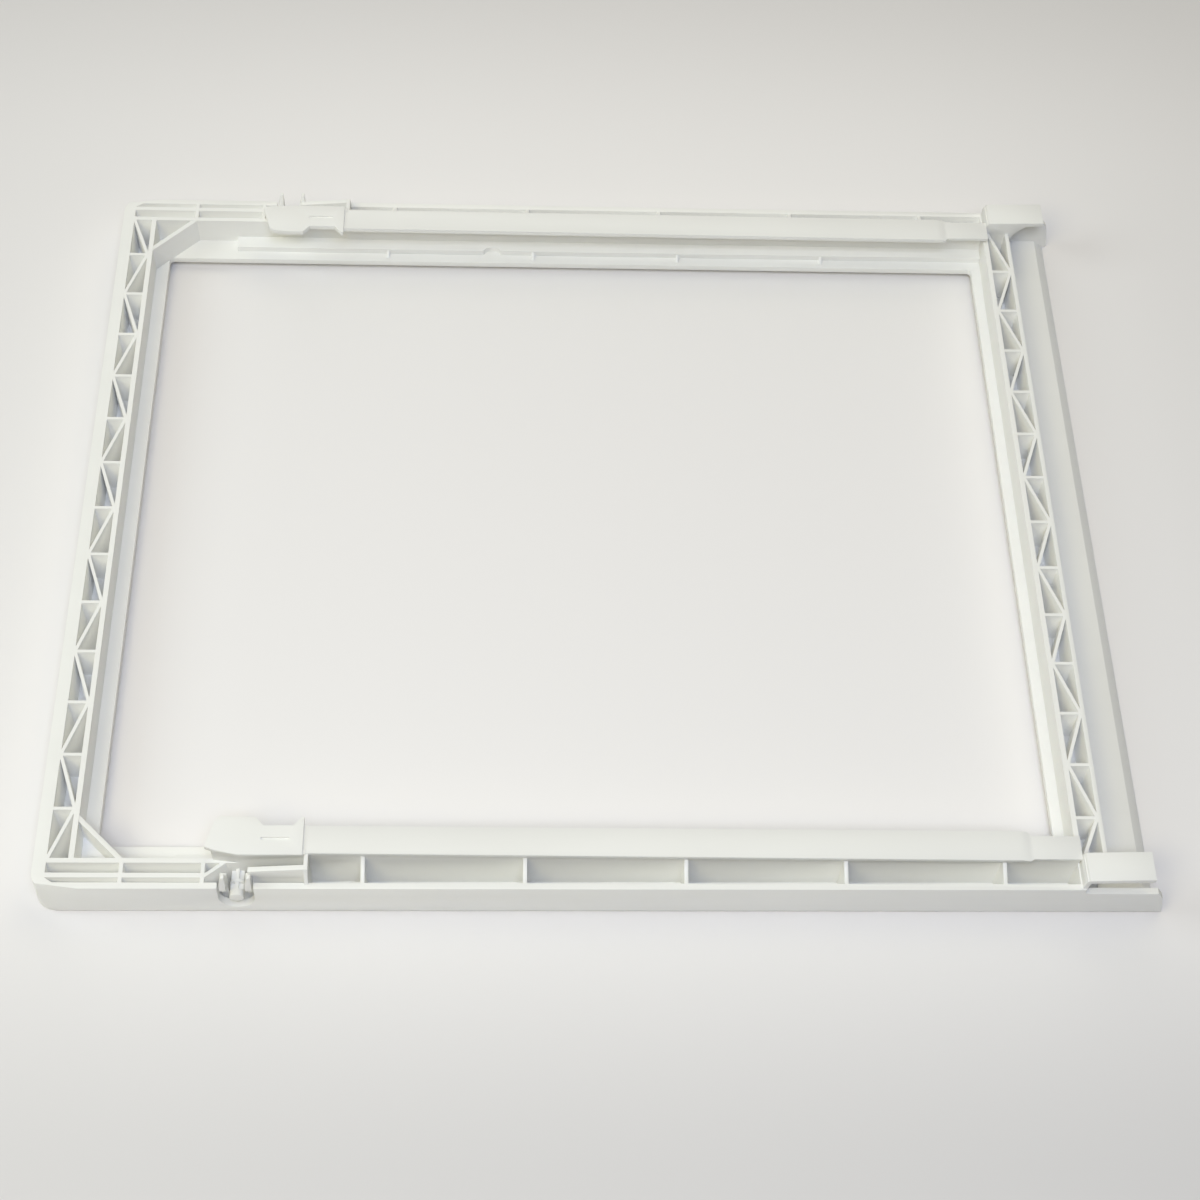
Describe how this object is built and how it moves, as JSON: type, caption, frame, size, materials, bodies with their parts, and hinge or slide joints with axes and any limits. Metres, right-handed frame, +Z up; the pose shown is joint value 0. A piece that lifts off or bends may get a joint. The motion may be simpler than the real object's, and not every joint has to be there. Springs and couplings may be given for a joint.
{
  "type": "fridge crisper cover",
  "caption": "Moulded frame that covers a crisper drawer: glass ledge round an opening, drawer rails with roller stubs, and hooks at the front.",
  "frame": {"origin": "centre of the bounding box at table level, on the cover's top face; the cover lies underside up", "axes": "+X from the rear beam to the front flange along the drawer rails, +Y across to the far side beam, +Z up, from the cover's top face to its underside"},
  "size_m": [0.4592, 0.373, 0.0308],
  "materials": {
    "frame_plastic": "satin moulded plastic, warm white"
  },
  "bodies": {
    "root": {"cover_frame": "frame_plastic"}
  },
  "joints": []
}
